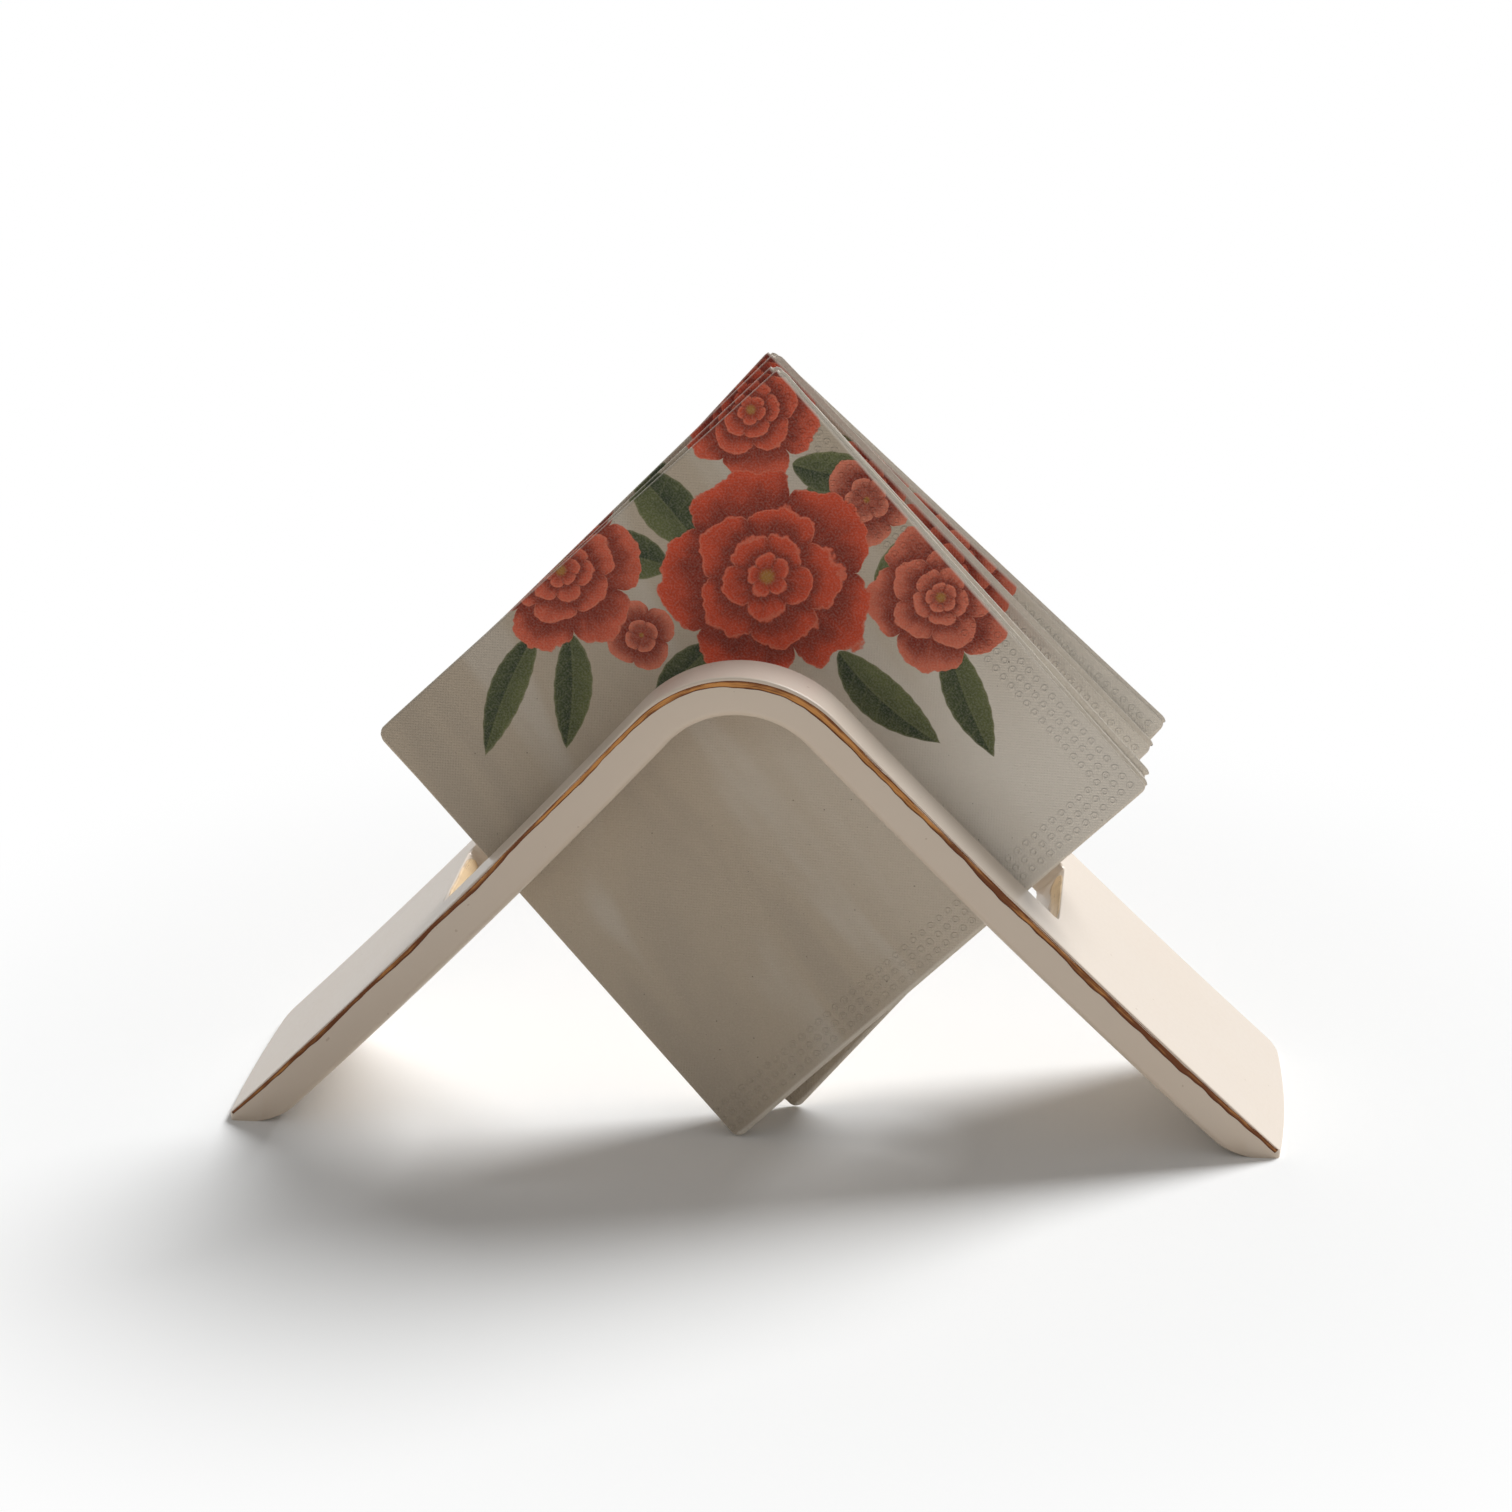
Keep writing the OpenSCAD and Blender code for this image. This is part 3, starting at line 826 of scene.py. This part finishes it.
# How the four napkins stand, from front to rear: the bottom corner along X, the turn in
# their own plane in degrees, their share of the fan, and how far the front and the rear
# layers splay at the open corner
FAN = (
    (-1.7, 2.6, 0.0, 1.3, 0.15),
    (-0.6, 1.7, 0.04, 0.10, 1.9),
    (2.3, 0.4, 0.93, 2.0, 0.15),
    (9.6, -2.5, 1.0, 0.10, 2.2),
)
# Room that a turned napkin takes, as a share of its thickness
TURN_ROOM = 1.02
# How far off its middle each napkin's first fold is
SLIPS = (0.35, 0.7, 0.6, 0.45)
# Height and length of the paper's slow waves, and how far from the corner they grow
WAVE_MM, WAVE_LENGTH_MM, WAVE_START_MM = 0.10, 46.0, 40.0


def napkin_frames(holder, paper):
    """Where each napkin stands: a matrix from its own plane to the table's frame."""
    line = SideLine(holder)
    lean = radians(paper.lean_deg)
    tan_lean, slope = tan(lean), line.slope
    wall = (holder.wall_mm + holder.bow_mm) / sin(slope)
    inner_foot = line.tip_x + holder.tip_mm / tan(slope) - wall
    corner_z = paper.gap_mm + paper.corner_mm * cos(lean) + paper.thick_mm / 2 * sin(lean)

    def crossing(degrees, x):
        """Height at which the front napkin's lower edge meets the inner face of a leg."""
        a = radians(degrees)
        up = corner_z / cos(lean) - paper.corner_mm / cos(a)
        start = inner_foot - x + up / tan(a)
        return start / (1 / tan(slope) + 1 / (tan(a) * cos(lean)))

    front_x, front_turn = FAN[0][:2]
    contact = min(crossing(45 - front_turn, front_x), crossing(45 + front_turn, -front_x))
    half = paper.thick_mm / (2 * cos(lean))
    front = -holder.slot_mm / 2 + paper.gap_mm + half + (holder.height_mm - contact) * tan_lean
    pitch = 2 * TURN_ROOM * half + paper.gap_mm
    reach = paper.side_mm / sqrt(2)
    free = holder.slot_mm / 2 - paper.gap_mm - TURN_ROOM * half - front - (len(FAN) - 1) * pitch
    room = free - holder.bend_mm * (hypot(tan_lean, free / reach) - tan_lean)
    frames = []
    low = (holder.height_mm - corner_z) * tan_lean
    for number, (x, turn, share, *_) in enumerate(FAN):
        back = share * room / reach
        y = front + number * pitch + share * room + back * x - low
        frames.append(
            Matrix.Translation((x, y, corner_z))
            @ Matrix.Rotation(-lean, 4, "X")
            @ Matrix.Rotation(atan(back * cos(lean)), 4, "Z")
            @ Matrix.Rotation(radians(turn), 4, "Y")
            @ Matrix.Rotation(pi / 2, 4, "X")
        )
    return frames


def folded_sheet(number, stand, paper, materials):
    """A square sheet folded in half twice, as one closed surface with all four layers."""
    side, r = paper.side_mm, paper.pitch_mm / 2
    lines = sheet_lines(side, paper.cells)
    lines = [-d for d in reversed(lines[1:])] + lines
    steps = len(lines) - 1
    bm = bmesh.new()
    bmesh.ops.create_grid(bm, x_segments=steps, y_segments=steps, size=1.0)
    layer = bm.loops.layers.uv.new("sheet")
    flat = {}
    for vert in bm.verts:
        column = round((vert.co.x + 1) / 2 * steps)
        row = round((vert.co.y + 1) / 2 * steps)
        flat[vert] = (lines[column], lines[row])
    for face in bm.faces:
        for loop in face.loops:
            u, v = flat[loop.vert]
            loop[layer].uv = (u / (2 * side) + 0.5, v / (2 * side) + 0.5)
    *_, splay_front, splay_rear = FAN[number]
    root, half = sqrt(2), sqrt(0.5)
    shift = Vector((-side / root, -paper.corner_mm * root + side / root, 0.0))
    along_p, along_q = Vector((half, -half, 0.0)), Vector((half, half, 0.0))
    for vert, (u, v) in flat.items():
        # Hand folding leaves the layers' edges a little apart
        v -= SLIPS[number]
        # First fold, across V
        if abs(v) <= pi * r / 2:
            q, n1 = r * (1 - cos(v / r)), r * sin(v / r)
        else:
            q, n1 = r + abs(v) - pi * r / 2, copysign(r, v)
        # Second fold, across U, round the two layers of the first one
        bend = 2 * r + n1
        if abs(u) <= pi * bend / 2:
            p, n = 3 * r - bend * cos(u / bend), bend * sin(u / bend)
        else:
            p, n = 3 * r + abs(u) - pi * bend / 2, copysign(bend, u)
        p, q = corner_round(min(p, side), q, paper.corner_mm, side + SLIPS[number] * (q > p))
        # The open corner lets its layers go, the outer ones most
        loose = (p / side) ** 2 * (q / side) ** 2
        layer_place = n / (3 * r)
        if layer_place > 0:
            n += splay_front * loose * layer_place
        else:
            n += splay_rear * loose * layer_place
        wave = noise.noise(Vector((p / WAVE_LENGTH_MM, q / WAVE_LENGTH_MM, number * 3.1 + 0.4)))
        n += WAVE_MM * wave * min(1.0, (p + q) / WAVE_START_MM)
        vert.co = (stand @ (shift + along_p * p + along_q * q + Vector((0.0, 0.0, n)))) * MM
    bm.normal_update()
    front = next(face for face in bm.faces if min(min(flat[v]) for v in face.verts) > side / 2)
    if front.normal.dot(stand.to_3x3() @ Vector((0.0, 0.0, 1.0))) < 0:
        bmesh.ops.reverse_faces(bm, faces=bm.faces)
    count = number + 1
    name, body, node = "folded_napkin_%d" % count, "sheet_%d" % count, "napkin_%d" % count
    piece = finished(name, bm, body, node, materials)
    solid = piece.modifiers.new("Paper thickness", "SOLIDIFY")
    solid.thickness = paper.ply_mm * MM
    solid.offset = 0.0
    solid.material_offset = 1
    solid.material_offset_rim = 1


# Operators

class HOLDER_OT_glaze(bpy.types.Operator):
    """Build the slab with its slot and glaze it"""

    bl_idname = "holder.glaze"
    bl_label = "Build and glaze the slab"

    def execute(self, context):
        slab(context.scene.holder_sizes, glaze_material(context.scene.finish_colours))
        return {"FINISHED"}


class HOLDER_OT_gold_lines(bpy.types.Operator):
    """Paint the gold lines along the front and rear faces"""

    bl_idname = "holder.gold_lines"
    bl_label = "Paint the gold lines"

    def execute(self, context):
        scene = context.scene
        sizes, gold = scene.holder_sizes, scene.gold_sizes
        line = SideLine(sizes)
        material = lustre_material(scene.finish_colours, "Gold lustre line", 0.0, line.run)
        for name, node, side, seed, short in (
            ("painted_front_line", "front_gold_line", -1.0, 1.3, 0.3),
            ("painted_rear_line", "rear_gold_line", 1.0, 7.9, 4.0),
        ):
            end = line.run - short

            def width(run, seed=seed, end=end):
                return line_edges(run, end, gold.line_mm, seed)

            def place(run, inward, side=side):
                x, z, _, _ = line.at(run, inward)
                face = sizes.depth_mm / 2 - fall_away(inward, sizes.edge_mm)
                return x, side * (face + LINE_AIR_MM), max(z, TABLE_AIR_MM)

            brush_stroke(name, node, place, (-end, end), width, gold.film_mm, material)
        return {"FINISHED"}


class HOLDER_OT_slot_gold(bpy.types.Operator):
    """Paint the gold patches on the slot's end walls"""

    bl_idname = "holder.slot_gold"
    bl_label = "Paint the slot's ends"

    def execute(self, context):
        scene = context.scene
        sizes, gold = scene.holder_sizes, scene.gold_sizes
        line = SideLine(sizes)
        # The patches get pale lustre: painted light on the slot's end walls
        material = lustre_material(scene.finish_colours, "Gold lustre patch", 0.9, 0.0)
        reach = sizes.slot_mm / 2 - PATCH_SIDE_MM
        for name, node, side, seed in (
            ("painted_left_end", "left_slot_gold", -1.0, 3.1),
            ("painted_right_end", "right_slot_gold", 1.0, 5.2),
        ):
            def width(y, seed=seed):
                return patch_edges(y, reach, gold.patch_mm, seed)

            def place(y, inward, side=side):
                x, z, out_x, out_z = line.at(side * line.slot_run, 0.0)
                air = side * PATCH_AIR_MM
                return x - inward * out_x - air * out_z, y, z - inward * out_z + air * out_x

            brush_stroke(name, node, place, (-reach, reach), width, gold.film_mm, material, 60)
        return {"FINISHED"}


class HOLDER_OT_napkins(bpy.types.Operator):
    """Fold the four napkins and stand them in the slot"""

    bl_idname = "holder.napkins"
    bl_label = "Fold the napkins"

    def execute(self, context):
        scene = context.scene
        paper, colours = scene.napkin_sizes, scene.finish_colours
        materials = [paper_material(colours, paper.side_mm), core_material(colours)]
        for number, stand in enumerate(napkin_frames(scene.holder_sizes, paper)):
            folded_sheet(number, stand, paper, materials)
        return {"FINISHED"}


class HOLDER_OT_stage(bpy.types.Operator):
    """Set up the floor, the light and the camera"""

    bl_idname = "holder.stage"
    bl_label = "Set the stage"

    def execute(self, context):
        settings = context.scene.stage_settings
        lay_floor(settings)
        light_stage(context.scene, settings)
        aim_camera(context.scene)
        return {"FINISHED"}


# The floor: half its width, its tints for the light it gives back and for the eye, and the
# distances between which it turns to white
FLOOR_HALF = 6.0
BOUNCE_TINT, FLOOR_TINT = (1.0, 0.94, 0.86), (0.965, 0.987, 1.0)
WHITE_FROM, WHITE_TO = 0.135, 0.27
# The light: the way to the key light, and the tints of the key and of the surroundings
KEY_WAY = (0.44, 0.55, 0.70)
KEY_TINT, AROUND_TINT = (1.0, 0.99, 0.985), (1.0, 0.965, 0.925)
# The camera: degrees to the right, above the table and of roll, the point it looks at and
# its distance from there, and its lens and sensor
TURN_DEG, LIFT_DEG, ROLL_DEG = 7.312, 20.322, -1.192
TARGET, DISTANCE = (0.000565, 0.0, 0.082492), 0.81129
LENS_MM, SENSOR_MM = 85.309, 36.0


def seen(g):
    """1 where the camera, a reflection or a view through glass looks, and 0 for lighting rays."""
    path = g.add("ShaderNodeLightPath").outputs
    mirrored = g.math("MAXIMUM", path["Is Glossy Ray"], path["Is Transmission Ray"])
    return g.math("MAXIMUM", path["Is Camera Ray"], mirrored)


def lay_floor(settings):
    """A pale floor that turns to plain white away from the holder."""
    bm = bmesh.new()
    bmesh.ops.create_grid(bm, x_segments=8, y_segments=8, size=FLOOR_HALF)
    floor = placed("floor", mesh_from("floor", bm))
    material = bpy.data.materials.new("Pale floor")
    g = empty_graph(material)
    shown = seen(g)
    given_back = tuple(settings.bounce * tint for tint in BOUNCE_TINT)
    matt = g.add("ShaderNodeBsdfDiffuse", g.mix(shown, given_back, FLOOR_TINT)).outputs[0]
    white = g.add("ShaderNodeEmission").outputs[0]
    away = g.vector("LENGTH", g.add("ShaderNodeTexCoord").outputs["Object"])
    far = g.times(g.ramp(away, WHITE_FROM, WHITE_TO), shown)
    g.add("ShaderNodeOutputMaterial", g.blend(far, matt, white))
    floor.data.materials.append(material)


def light_stage(scene, settings):
    """A soft key light from above, behind and to the right, in an even surrounding light."""
    lamp = bpy.data.lights.new("Soft key", "SUN")
    lamp.energy = settings.sun
    lamp.angle = settings.sun_angle
    lamp.color = KEY_TINT
    placed("Soft key", lamp).rotation_euler = Vector(KEY_WAY).to_track_quat("Z", "Y").to_euler()
    world = bpy.data.worlds.new("Studio")
    g = empty_graph(world)
    around = g.add("ShaderNodeBackground", AROUND_TINT, settings.ambient).outputs[0]
    white = g.add("ShaderNodeBackground", (1.0, 1.0, 1.0)).outputs[0]
    g.add("ShaderNodeOutputWorld", g.blend(seen(g), around, white))
    scene.world = world
    scene.view_settings.view_transform = "Standard"


def aim_camera(scene):
    """The photograph's point of view, through a long lens."""
    lens = bpy.data.cameras.new("Camera")
    lens.sensor_width = SENSOR_MM
    lens.lens = LENS_MM
    lens.clip_end = 50.0
    camera = placed("Camera", lens)
    camera.matrix_world = (
        Matrix.Translation(TARGET)
        @ Matrix.Rotation(radians(TURN_DEG), 4, "Z")
        @ Matrix.Rotation(radians(90.0 - LIFT_DEG), 4, "X")
        @ Matrix.Rotation(radians(ROLL_DEG), 4, "Z")
        @ Matrix.Translation((0.0, 0.0, DISTANCE))
    )
    scene.camera = camera


class HOLDER_PT_sidebar(bpy.types.Panel):
    """Steps that finish the holder, in order"""

    bl_label = "Napkin holder"
    bl_idname = "HOLDER_PT_sidebar"
    bl_space_type = "VIEW_3D"
    bl_region_type = "UI"
    bl_category = "Holder"

    def draw(self, context):
        layout = self.layout
        for step in STEPS:
            layout.operator(step.bl_idname)
        for name, group in GROUPS:
            box = layout.box()
            box.label(text=group.__doc__)
            settings = getattr(context.scene, name)
            for field in group.__annotations__:
                box.prop(settings, field)


STEPS = (
    HOLDER_OT_glaze, HOLDER_OT_gold_lines, HOLDER_OT_slot_gold, HOLDER_OT_napkins, HOLDER_OT_stage)
CLASSES = tuple(group for _, group in GROUPS) + STEPS + (HOLDER_PT_sidebar,)


def register():
    for cls in CLASSES:
        bpy.utils.register_class(cls)
    for name, group in GROUPS:
        setattr(bpy.types.Scene, name, PointerProperty(type=group))


def unregister():
    for name, _ in GROUPS:
        delattr(bpy.types.Scene, name)
    for cls in reversed(CLASSES):
        bpy.utils.unregister_class(cls)


def main():
    register()
    bpy.ops.holder.glaze()
    bpy.ops.holder.gold_lines()
    bpy.ops.holder.slot_gold()
    bpy.ops.holder.napkins()
    bpy.ops.holder.stage()
    bpy.context.view_layer.update()


if __name__ == "__main__":
    main()
